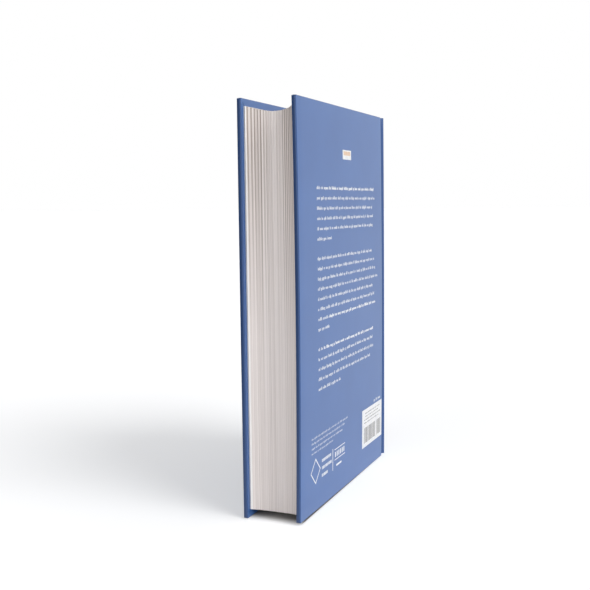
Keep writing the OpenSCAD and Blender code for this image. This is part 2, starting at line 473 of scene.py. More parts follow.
def coordinates(tree: Tree, name: str = "Object") -> Socket:
    """Gives one kind of texture coordinates."""
    return add_node(tree, "ShaderNodeTexCoord").outputs[name]


def mottle(tree: Tree, place: Socket, spacing_mm: float, detail: float) -> Socket:
    """Gives noise whose spots lie about a spacing apart."""
    settings = {"Scale": per_metre(spacing_mm), "Detail": detail}
    return add_node(tree, "ShaderNodeTexNoise", settings, {"Vector": place}).outputs["Fac"]


def bands(tree: Tree, place: Socket, axis: str, spacing_mm: float, distortion: float = 0.0) -> Socket:
    """Gives a wave with one band in each spacing.

    Args:
        tree: The tree that gets the node.
        place: Where it is read.
        axis: The direction in which the bands follow each other.
        spacing_mm: The distance from band to band, in millimetres.
        distortion: How far the bands waver.

    Returns:
        The wave's socket.
    """
    scale = per_metre(spacing_mm) * math.tau / WAVE_TURN
    settings = {"bands_direction": axis, "Scale": scale, "Distortion": distortion}
    return add_node(tree, "ShaderNodeTexWave", settings, {"Vector": place}).outputs["Fac"]


def shade(tree: Tree, factor: Socket, low: str, high: str, span: Span) -> Socket:
    """Blends two colours by a factor.

    Args:
        tree: The material's tree.
        factor: The socket that drives the blend.
        low: The colour at the low end of the span.
        high: The colour at its high end.
        span: The two values of the factor.

    Returns:
        The colour's socket.
    """
    ramp = add_node(tree, "ShaderNodeValToRGB", links={"Fac": factor})
    ends = ramp.color_ramp.elements
    for end, code, position in zip(ends, (low, high), span):
        end.color = srgb(code)
        end.position = position
    return ramp.outputs["Color"]


def painted(tree: Tree, factor: Socket, under: Socket, code: str) -> Socket:
    """Covers a pattern with a plain colour where the factor is 1."""
    links = {"Fac": factor, "Color1": under}
    return add_node(tree, "ShaderNodeMixRGB", {"Color2": srgb(code)}, links).outputs["Color"]


def cleared(owner: bpy.types.Material | bpy.types.World) -> Tree:
    """Gives the empty node tree of a new material or world."""
    owner.use_nodes = True
    owner.node_tree.nodes.clear()
    return owner.node_tree


@dataclass(frozen=True)
class Finish:
    """A surface: what it is made of, its colour and how it takes the light."""

    name: str
    slot: str
    colour: str
    roughness: float

    def colour_socket(self, tree: Tree, place: Socket) -> Socket:
        """Builds the colour's pattern."""
        raise NotImplementedError

    def height_socket(self, tree: Tree, place: Socket) -> tuple[Socket, float] | None:
        """Builds the relief and gives its depth in metres, or gives None."""
        return None

    def shader_settings(self) -> dict:
        """Gives further settings of the shader."""
        return {}

    def material(self) -> bpy.types.Material:
        """Builds the material once and gives it again after that.

        Returns:
            The material.
        """
        known = bpy.data.materials.get(self.name)
        if known:
            return known
        material = bpy.data.materials.new(self.name)
        tree = cleared(material)
        place = coordinates(tree)
        links = {"Base Color": self.colour_socket(tree, place)}
        relief = self.height_socket(tree, place)
        if relief:
            height, depth = relief
            bump = add_node(tree, "ShaderNodeBump", {"Distance": depth}, {"Height": height})
            links["Normal"] = bump.outputs["Normal"]
        settings = {"Base Color": srgb(self.colour), "Roughness": self.roughness}
        shader = add_node(tree, "ShaderNodeBsdfPrincipled", settings | self.shader_settings(), links)
        add_node(tree, "ShaderNodeOutputMaterial", links={"Surface": shader.outputs["BSDF"]})
        return material


@dataclass(frozen=True)
class FilmedFinish(Finish):
    """A surface under the case's matt film, whose broad sheen turns pale at grazing views."""

    def shader_settings(self) -> dict:
        """Adds the film's own thin gloss."""
        return {"IOR": 1.5, "Coat Weight": 0.35, "Coat Roughness": 0.42, "Coat IOR": 1.5}


@dataclass(frozen=True)
class LaminatedPrint(FilmedFinish):
    """Offset-printed case paper.

    The ink is even, with a faint cloudiness. A darker tone of painted shade lies on
    faces that point up, down or towards the fore-edge, such as the boards' edges.
    The paper's fibre shows through the film as a very fine orange-peel.
    """

    deep: str
    # painted shade: the darker tone on faces that point up, down or towards the fore-edge
    turned: str
    cloud_mm: float = 34.0
    cloud_span: Span = (0.3, 0.7)
    turn_span: Span = (0.3, 0.8)
    fibre_mm: float = 0.45
    fibre_depth: float = 0.006 * MM

    def colour_socket(self, tree: Tree, place: Socket) -> Socket:
        """Gives the ink its faint clouds, and paints shade on faces that point up, down or towards the
        fore-edge.
        """
        cloud = mottle(tree, place, self.cloud_mm, detail=4.0)
        flat = shade(tree, cloud, self.deep, self.colour, self.cloud_span)
        normal = coordinates(tree, "Normal")
        upright = arithmetic(tree, "ABSOLUTE", axis_of(tree, normal, "Z"))
        most = arithmetic(tree, "MAXIMUM", upright, axis_of(tree, normal, "X"))
        return painted(tree, mapped(tree, most, self.turn_span, curve="SMOOTHSTEP"), flat, self.turned)

    def height_socket(self, tree: Tree, place: Socket) -> tuple[Socket, float]:
        """Gives the film the fibre under it."""
        return mottle(tree, place, self.fibre_mm, detail=3.0), self.fibre_depth


@dataclass(frozen=True)
class LeafEdges(Finish):
    """Trimmed edges of uncoated book paper.

    Single leaves are finer than the view can show, so they are drawn as bundles
    of a few leaves, as faint grey-brown lines that run along the leaves. Thin
    darker lines of painted shade part the sections near the sides of the block,
    and painted shade darkens the whole edge; both grow stronger towards the
    head, where the leaves lie looser and the gaps between them are in shade.
    The outermost leaves are whiter.
    """

    # painted shade: the colour of the shade in the gaps between sections, and the dark end of the bundles'
    # tone
    gap: str
    outer: str
    bundle_mm: float = 0.34
    section_mm: float = 1.4
    drift_mm: float = 420.0
    side_span: Span = (1.5 * MM, 7.0 * MM)
    outer_span: Span = (13.6 * MM, 13.9 * MM)
    loose_span: Span = (0.1, 0.225)
    line_depth: Span = (-0.08, -0.5)
    line_power: float = 2.0
    side_offset: float = 0.16
    tone_span: Span = (-0.12, 0.55)
    relief: float = 0.05 * MM

    def along_leaves(self, tree: Tree, place: Socket, spacing_mm: float, settings: dict) -> Socket:
        """Gives noise drawn out along the leaves, with a spacing across them."""
        slow = per_metre(self.drift_mm)
        scale = {"Scale": (slow, per_metre(spacing_mm), slow)}
        at = add_node(tree, "ShaderNodeMapping", scale, {"Vector": place}).outputs["Vector"]
        return add_node(tree, "ShaderNodeTexNoise", {"Scale": 1.0} | settings, {"Vector": at}).outputs["Fac"]

    def colour_socket(self, tree: Tree, place: Socket) -> Socket:
        """Draws the bundles, the sections' lines of painted shade near the sides, the painted shade that
        darkens towards the head, and the whiter outer leaves.
        """
        fine = self.along_leaves(tree, place, self.bundle_mm, {"Detail": 3.0, "Roughness": 0.6})
        off_middle = arithmetic(tree, "ABSOLUTE", axis_of(tree, place, "Y"))
        sides = mapped(tree, off_middle, self.side_span, curve="SMOOTHSTEP")
        # painted shade: darker towards the head, in the sections' lines and over the whole edge
        depth = mapped(tree, axis_of(tree, place, "Z"), self.loose_span, self.line_depth)
        lines = arithmetic(tree, "POWER", bands(tree, place, "Y", self.section_mm), self.line_power)
        near_sides = arithmetic(tree, "MULTIPLY_ADD", lines, sides, self.side_offset)
        tone = arithmetic(tree, "MULTIPLY_ADD", near_sides, depth, fine)
        drawn = shade(tree, tone, self.gap, self.colour, self.tone_span)
        outermost = mapped(tree, off_middle, self.outer_span, curve="SMOOTHSTEP")
        return painted(tree, outermost, drawn, self.outer)

    def height_socket(self, tree: Tree, place: Socket) -> tuple[Socket, float]:
        """Gives the leaves' edges their fine steps."""
        return self.along_leaves(tree, place, self.bundle_mm / 2, {"Detail": 2.0}), self.relief


@dataclass(frozen=True)
class UncoatedSheet(Finish):
    """A sheet of uncoated stock: matt, with a soft felt of fibres."""

    fleck: str
    fibre_mm: float = 0.9
    cloud_fibres: int = 4
    tone_span: Span = (0.35, 0.6)
    relief_mm: float = 0.01

    def colour_socket(self, tree: Tree, place: Socket) -> Socket:
        """Gives the sheet its cloudy formation."""
        felt = mottle(tree, place, self.fibre_mm * self.cloud_fibres, detail=6.0)
        return shade(tree, felt, self.fleck, self.colour, self.tone_span)

    def height_socket(self, tree: Tree, place: Socket) -> tuple[Socket, float]:
        """Gives the sheet its fibres."""
        return mottle(tree, place, self.fibre_mm, detail=4.0), self.relief_mm * MM


@dataclass(frozen=True)
class OpenCloth(Finish):
    """Starched open-weave cotton, with threads about a millimetre apart.

    The holes between the threads show as darker glue, because the cloth is
    pasted down all over.
    """

    glue: str
    thread_mm: float = 1.0
    waver: float = 0.6
    tone_span: Span = (0.45, 0.75)
    relief: float = 0.12 * MM

    def weave(self, tree: Tree, place: Socket) -> Socket:
        """Crosses the threads of two directions."""
        threads = (bands(tree, place, axis, self.thread_mm, self.waver) for axis in ("Z", "DIAGONAL"))
        return arithmetic(tree, "MAXIMUM", *threads)

    def colour_socket(self, tree: Tree, place: Socket) -> Socket:
        """Shows the glue between the threads."""
        return shade(tree, self.weave(tree, place), self.glue, self.colour, self.tone_span)

    def height_socket(self, tree: Tree, place: Socket) -> tuple[Socket, float]:
        """Raises the threads."""
        return self.weave(tree, place), self.relief


@dataclass(frozen=True)
class StripedBand(Finish):
    """Woven cotton band with stripes across its rolled edge."""

    stripe: str
    stripe_mm: float = 2.6
    tone_span: Span = (0.46, 0.54)
    thread_mm: float = 0.45
    relief: float = 0.05 * MM

    def colour_socket(self, tree: Tree, place: Socket) -> Socket:
        """Draws the stripes across the band."""
        stripes = bands(tree, place, "Y", self.stripe_mm)
        return shade(tree, stripes, self.stripe, self.colour, self.tone_span)

    def height_socket(self, tree: Tree, place: Socket) -> tuple[Socket, float]:
        """Gives the roll its threads."""
        return bands(tree, place, "Y", self.thread_mm), self.relief


@dataclass(frozen=True)
class ScreenInk(FilmedFinish):
    """Opaque ink printed on the case paper."""

    thin: str
    lay_mm: float = 1.4
    tone_span: Span = (0.3, 0.55)

    def colour_socket(self, tree: Tree, place: Socket) -> Socket:
        """Lets the ink lie a little unevenly."""
        lay = mottle(tree, place, self.lay_mm, detail=2.0)
        return shade(tree, lay, self.thin, self.colour, self.tone_span)


# case paper: a mid blue ink under a matt film; its turned colour is painted shade on the edge faces
CASE_PAPER = LaminatedPrint(
    "matt_laminated_case_paper", "cover_paper", "#3C68A8", 0.4, deep="#3762A1", turned="#183D70"
)
# the same paper pressed into the joint, darker all over as painted shade in the groove
GROOVE_SHADE_PAPER = LaminatedPrint(
    "pressed_case_paper_in_joint", "cover_paper", "#2C5796", 0.45, deep="#28518E", turned="#183D70"
)
# book paper: slightly warm white, its edges lined with grey-brown; the gap colour is painted shade between
# sections and towards the head
LEAF_EDGES = LeafEdges(
    "uncoated_book_paper_edges", "page_paper", "#F6EEEA", 0.85, gap="#A89B93", outer="#FCFAF8"
)
# endpaper: brighter white offset stock
ENDPAPER = UncoatedSheet("white_endpaper_stock", "endpaper", "#F0EEEA", 0.85, fleck="#EBE9E5")
# greyboard: recycled fibre, mid grey with a rough face
GREYBOARD = UncoatedSheet("recycled_greyboard", "greyboard", "#A39B90", 0.9, fleck="#8E867C", relief_mm=0.03)
# spine card: the same fibre, smoother
SPINE_CARD = UncoatedSheet("smooth_spine_card", "spine_card", "#A8A196", 0.85, fleck="#989085")
# kraft lining: brown wrapping stock
KRAFT = UncoatedSheet("kraft_spine_lining", "lining_paper", "#C9B28C", 0.8, fleck="#B89E76")
# mull: starched cotton, cream
MULL = OpenCloth("starched_cotton_mull", "mull_cloth", "#E9E3D2", 0.9, glue="#C8BFA8")
# head and tail bands: white cotton with blue stripes
BAND = StripedBand("striped_cotton_band", "band_cloth", "#ECECF0", 0.75, stripe="#3F5E96")
# white ink of the text, the marks and the panels
WHITE_INK = ScreenInk("white_ink_under_film", "cover_paper", "#F6F5F3", 0.5, thin="#E4E6EC")
# pale orange ink of the emblem's stripe
ORANGE_INK = ScreenInk("pale_orange_ink_under_film", "cover_paper", "#E9C9AE", 0.5, thin="#DDB797")
# warm grey ink on the white panel
GREY_INK = ScreenInk("grey_ink_under_film", "cover_paper", "#6A6663", 0.5, thin="#86817D")


def laid(bm: Mesh, name: str, finish: Finish, crease_deg: float = 32.0) -> Piece:
    """Turns a finished bmesh into a piece with its finish.

    Args:
        bm: The mesh, which is freed.
        name: The piece's name.
        finish: What it is made of.
        crease_deg: Edges sharper than this stay crisp.

    Returns:
        The piece, at the origin.
    """
    limit = math.radians(crease_deg)
    for face in bm.faces:
        face.smooth = True
    for edge in bm.edges:
        edge.smooth = len(edge.link_faces) == 2 and edge.calc_face_angle(0.0) < limit
    mesh = bpy.data.meshes.new(name)
    bm.to_mesh(mesh)
    bm.free()
    mesh.materials.append(finish.material())
    piece = bpy.data.objects.new(name, mesh)
    bpy.context.scene.collection.objects.link(piece)
    return piece


def cut(bm: Mesh, axis: int, at: float, keep: int = 0) -> None:
    """Cuts a mesh with a plane square to an axis.

    Args:
        bm: The mesh.
        axis: The axis, 0 for x, 1 for y or 2 for z.
        at: Where the plane crosses it.
        keep: 0 keeps both sides, 1 what lies beyond the plane, -1 what lies before it.
    """
    point, normal = Vector(), Vector()
    point[axis] = at
    normal[axis] = 1.0
    bmesh.ops.bisect_plane(
        bm,
        geom=[*bm.verts, *bm.edges, *bm.faces],
        dist=SAME_POINT / 10,
        plane_co=point,
        plane_no=normal,
        clear_inner=keep > 0,
        clear_outer=keep < 0,
    )
    if keep:
        rim = [e for e in bm.edges if e.is_boundary]
        bmesh.ops.holes_fill(bm, edges=rim, sides=0)


def divide(bm: Mesh, axis: int, pitch: float) -> None:
    """Cuts a mesh into even steps along an axis, so that it can bend."""
    places = [v.co[axis] for v in bm.verts]
    for at in steps(min(places), max(places), pitch):
        cut(bm, axis, at)


def prism(points: Iterable[Vector], move: Vector) -> Mesh:
    """Extrudes a flat outline into a solid.

    Args:
        points: The outline's corners in order.
        move: How far and in which direction it is extruded.

    Returns:
        The solid, with its faces pointing outwards.
    """
    bm = bmesh.new()
    face = bm.faces.new([bm.verts.new(p) for p in points])
    made = bmesh.ops.extrude_face_region(bm, geom=[face])["geom"]
    bmesh.ops.translate(bm, vec=move, verts=[v for v in made if isinstance(v, bmesh.types.BMVert)])
    bmesh.ops.recalc_face_normals(bm, faces=bm.faces)
    return bm


def arc(centre: Vector, radius: float, start_deg: float, end_deg: float, count: int) -> list[Vector]:
    """Gives points along an arc in the plan of the book.

    Args:
        centre: The arc's centre.
        radius: Its radius.
        start_deg: The angle of its first point, from +X towards +Y.
        end_deg: The angle of its last point.
        count: How many steps it has.

    Returns:
        Its points in order.
    """
    angles = (math.radians(start_deg + (end_deg - start_deg) * i / count) for i in range(count + 1))
    return [centre + radius * Vector((math.cos(a), math.sin(a), 0.0)) for a in angles]


def loft(rings: Iterable[list[Vector]]) -> Mesh:
    """Bridges a row of rings and caps both ends.

    Args:
        rings: Rings with as many points each.

    Returns:
        The mesh, with its faces pointing outwards.
    """
    bm = bmesh.new()
    loops = []
    for ring in rings:
        verts = [bm.verts.new(p) for p in ring]
        loops.append([bm.edges.new((a, b)) for a, b in zip(verts, verts[1:] + verts[:1])])
    for one, other in zip(loops, loops[1:]):
        bmesh.ops.bridge_loops(bm, edges=one + other)
    for end in (loops[0], loops[-1]):
        bmesh.ops.contextual_create(bm, geom=end)
    bmesh.ops.recalc_face_normals(bm, faces=bm.faces)
    return bm


def mirrored(bm: Mesh, side: Side) -> Mesh:
    """Turns what was made for the back into the front's where the side asks for it."""
    if side is Side.FRONT:
        bmesh.ops.scale(bm, vec=(1.0, -1.0, 1.0), verts=bm.verts)
        bmesh.ops.reverse_faces(bm, faces=bm.faces)
    return bm


@dataclass(frozen=True)
class Binder:
    """What every sub-assembly needs: the frame, the form and how it settled."""

    frame: dict
    form: BookForm
    settle: Settle
    flat_deg: float = 0.3
    hinge_cuts: tuple[float, ...] = (-0.2 * MM, 0.6 * MM, 1.4 * MM)

    def settled_copy(
        self, node: str, keep_from_x: float | None = None, rounded: Side | None = None
    ) -> Mesh:
        """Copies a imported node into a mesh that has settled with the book.

        Args:
            node: The node's name.
            keep_from_x: Where the piece begins if it is trimmed for a joint.
            rounded: The cover whose rounded edges it follows, if any.

        Returns:
            The copy.
        """
        bm = bmesh.new()
        bm.from_mesh(self.frame["nodes"][node].data)
        bmesh.ops.remove_doubles(bm, verts=bm.verts, dist=SAME_POINT)
        bmesh.ops.dissolve_limit(bm, angle_limit=math.radians(self.flat_deg), verts=bm.verts, edges=bm.edges)
        if keep_from_x is not None:
            cut(bm, 0, keep_from_x, keep=1)
        divide(bm, 2, MESH_STEP)
        divide(bm, 0, MESH_STEP)
        for extra in self.hinge_cuts:
            cut(bm, 0, self.form.spine_edge_x + extra)
        if rounded:
            for axis, (low, high) in enumerate(self.form.cover_limits):
                for at in self.settle.edge_cuts(low, high, self.settle.radii[axis]):
                    cut(bm, axis, at * rounded.value if axis == 1 else at)
            for vert in bm.verts:
                vert.co = self.settle.rounded(vert.co, rounded)
        self.settle.apply(bm)
        return bm


@dataclass(frozen=True)
class JointBand:
    """The stretch of paper that flexes when a cover opens."""

    binder: Binder
    root_reach: float = 1.26 * MM
    cover_reach: float = 1.64 * MM
    flex_step: float = 0.24 * MM

    @property
    def root_x(self) -> float:
        """Where the cover paper stops following the spine."""
        return self.binder.form.joint_x - self.root_reach

    @property
    def cover_x(self) -> float:
        """Where the paper starts following the cover."""
        return self.binder.form.joint_x + self.cover_reach

    def bend(
        self, outline: Sequence[Span], name: str, finish: Finish, side: Side, start_x: float
    ) -> Piece:
        """Makes a flat strip and settles it across the joint, between the spine and the cover.

        Args:
            outline: Its upright section on the back's side, as y and z.
            name: The piece's name.
            finish: What it is made of.
            side: The side that it is for.
            start_x: Where it leaves the root.

        Returns:
            The piece.
        """
        length = Vector((self.cover_x - start_x, 0.0, 0.0))
        bm = prism([Vector((start_x, y, z)) for y, z in outline], length)
        divide(bm, 0, self.flex_step)
        divide(bm, 2, MESH_STEP)
        self.binder.settle.apply(mirrored(bm, side))
        piece = laid(bm, name, finish)
        # The ends are listed from the first body to the second; the front's strip counts from its cover, so
        # its ends are reversed.
        ends = [(PAGES_BODY, start_x), (side.body, self.cover_x)]
        if side is Side.FRONT:
            ends.reverse()
        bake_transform(piece)
        return piece

    def paper(self, side: Side) -> Piece:
        """Makes the cover paper's strip in the groove, with its turn-ins at head and tail."""
        form = self.binder.form
        top, rim = form.case_h, form.cover_t / 2
        outer, inner, turned = form.board_y + form.cover_t, form.board_y, form.turned_y
        corners = [
            (outer, rim), (outer, top - rim), (inner, top), (turned, top - rim), (turned, top - TURN_IN),
            (inner, top - TURN_IN), (inner, TURN_IN), (turned, TURN_IN), (turned, rim), (inner, 0.0),
        ]
        return self.bend(corners, f"{side.word}_joint_paper", GROOVE_SHADE_PAPER, side, self.root_x)

    def endpaper(self, side: Side, start_x: float) -> Piece:
        """Makes the endpaper's strip, from its fold to the edge of the board."""
        form = self.binder.form
        corners = [
            (form.paste_y, form.tail_z), (form.turned_y, form.tail_z),
            (form.turned_y, form.head_z), (form.paste_y, form.head_z),
        ]
        return self.bend(corners, f"{side.word}_joint_endpaper", ENDPAPER, side, start_x)


@dataclass(frozen=True)
class Cover:
    """One cover: a board wrapped in the case paper, with what is pasted inside."""

    binder: Binder
    joint: JointBand
    side: Side

    def dress(self, layer: str, finish: Finish, trimmed: bool) -> Piece:
        """Dresses one of the cover's layers in the place of its node.

        Args:
            layer: The layer's word in the node's name.
            finish: What it is made of.
            trimmed: True where the layer's edge meets the joint's strip.

        Returns:
            The piece.
        """
        node = f"{self.side.word}_{layer}"
        keep_from_x = self.joint.cover_x if trimmed else None
        copy = self.binder.settled_copy(node, keep_from_x=keep_from_x, rounded=self.side)
        piece = laid(copy, f"{node}_dressed", finish)
        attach(piece, self.side.body)
        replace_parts(piece, node)
        return piece

    def build(self) -> Iterator[Piece]:
        """Makes the cover's pieces.

        Yields:
            Each piece.
        """
        yield self.dress("cover_paper", CASE_PAPER, trimmed=True)
        yield self.dress("board", GREYBOARD, trimmed=False)
        yield self.dress("mull_flap", MULL, trimmed=False)
        yield self.dress("pastedown", ENDPAPER, trimmed=True)
        yield self.joint.paper(self.side)


@dataclass(frozen=True)
class SpineCase:
    """The case paper over the spine, and the sheets between it and the pages."""

    binder: Binder
    joint: JointBand
    ridge_r: float = 0.62 * MM
    groove_r: float = 0.8 * MM
    air: float = 0.02 * MM
    rolled_t: float = 1.12 * MM
    ridge_roll: float = 0.1 * MM
    spine_roll: float = 0.35 * MM
    least_r: float = 0.004 * MM
    least_gap: float = 0.01 * MM
    rim_steps: int = 6
    groove_steps: int = 6
    ridge_steps: int = 9
    round_steps: int = 26

    def stations(self) -> list[tuple[Vector, Vector, float]]:
        """Walks the back half of the paper from the joint to the middle of the spine.

        Returns:
            At each station a point of the outer face, the direction outwards and
            the thickness over the turn-in.
        """
        form = self.binder.form
        flat_t = 2 * form.cover_t
        outer_r = form.centre_x - form.skin_x
        foot_y = form.board_y + form.cover_t
        run = Vector((form.tip_x - form.base_x, form.tip_y - form.side_y, 0.0)).normalized()
        out = Vector((run.y, -run.x, 0.0))
        middle = Vector((form.centre_x, 0.0, 0.0))
        skin_d = form.board_y - form.turned_y + self.air + form.cover_t
        base = Vector((form.base_x, form.side_y, 0.0))
        line = base + out * skin_d
        corner = line + run * ((foot_y - line.y) / run.y)
        half_turn = (math.pi / 2 - math.atan2(out.y, out.x)) / 2
        bend_c = corner + Vector((self.groove_r * math.tan(half_turn), self.groove_r, 0.0))
        from_mid = base + out * (skin_d - self.ridge_r) - middle
        along = from_mid.dot(run)
        reach = -along + math.sqrt(along**2 - from_mid.length_squared + (outer_r - self.ridge_r) ** 2)
        ridge_c = middle + from_mid + run * reach
        out_deg = math.degrees(math.atan2(out.y, out.x))
        ridge_deg = math.degrees(math.atan2(ridge_c.y, ridge_c.x - middle.x))
        bend = arc(bend_c, self.groove_r, 270, 270 - 2 * math.degrees(half_turn), self.groove_steps)
        ridge = arc(ridge_c, self.ridge_r, out_deg, ridge_deg, self.ridge_steps)
        spine = arc(middle, outer_r, ridge_deg, 180, self.round_steps)[1:]
        root_x = self.joint.root_x
        walk = [(Vector((root_x, foot_y, 0.0)), Vector((0.0, 1.0, 0.0)), flat_t)]
        walk += [(p, (bend_c - p).normalized(), flat_t) for p in bend if p.x < root_x - self.least_gap]
        for i, p in enumerate(ridge):
            walk.append((p, (p - ridge_c).normalized(), flat_t + self.ridge_roll * i / len(ridge)))
        for i, p in enumerate(spine):
            rolled = min(self.rolled_t, flat_t + self.ridge_roll + self.spine_roll * (i + 1))
            walk.append((p, (p - middle).normalized(), rolled))
        return walk

    def ring(self, at: Vector, out: Vector, thick: float) -> list[Vector]:
        """Gives the paper's upright section at a station: a sheet with both ends rolled in.

        Args:
            at: The point of the outer face.
            out: The direction outwards.
            thick: The thickness over the rolled ends.

        Returns:
            The section's points in order.
        """
        form = self.binder.form
        levels = list(steps(thick, form.case_h - thick, MESH_STEP))
        turns = [math.pi * i / self.rim_steps for i in range(self.rim_steps + 1)]
        middle = outer_r = thick / 2
        inner_r = max(outer_r - form.cover_t, self.least_r)
        head_z, tail_z = form.case_h - outer_r, outer_r

        def roll(radius: float, inwards: int, up: int) -> list[tuple[float, float]]:
            """Half a turn of the sheet round its rolled end."""
            centre = head_z if up > 0 else tail_z
            return [
                (middle + inwards * radius * math.cos(a), centre + up * radius * math.sin(a)) for a in turns
            ]

        flap_r = middle + inner_r
        section = [(0.0, z) for z in levels] + roll(outer_r, -1, 1)
        section += [(thick, form.case_h - TURN_IN), (flap_r, form.case_h - TURN_IN)]
        section += roll(inner_r, 1, 1) + [(middle - inner_r, z) for z in reversed(levels)]
        section += roll(inner_r, -1, -1) + [(flap_r, TURN_IN), (thick, TURN_IN)]
        section += roll(outer_r, 1, -1)
        return [at - out * depth + Vector((0.0, 0.0, z)) for depth, z in section]

    def paper(self) -> Piece:
        """Makes the case paper over the spine from one joint to the other."""
        half = self.stations()
        flip = Matrix.Diagonal((1.0, -1.0, 1.0))
        whole = half + [(flip @ at, flip @ out, thick) for at, out, thick in reversed(half[:-1])]
        bm = loft(self.ring(*station) for station in whole)
        self.binder.settle.apply(bm)
        piece = laid(bm, "spine_case_paper", CASE_PAPER, crease_deg=50.0)
        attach(piece, PAGES_BODY)
        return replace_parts(piece, "spine_cover_paper")

    def build(self) -> Iterator[Piece]:
        """Makes the paper and the sheets under it.

        Yields:
            Each piece.
        """
        yield self.paper()
        sheets = {"spine_stiffener": SPINE_CARD, "spine_lining": KRAFT, "spine_mull": MULL}
        for node, finish in sheets.items():
            piece = laid(self.binder.settled_copy(node), f"{node}_dressed", finish)
            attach(piece, PAGES_BODY)
            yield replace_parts(piece, node)
        for node in ("head_band", "tail_band"):
            band = self.binder.frame["nodes"][node]
            band.data.materials.clear()
            band.data.materials.append(BAND.material())
            yield band


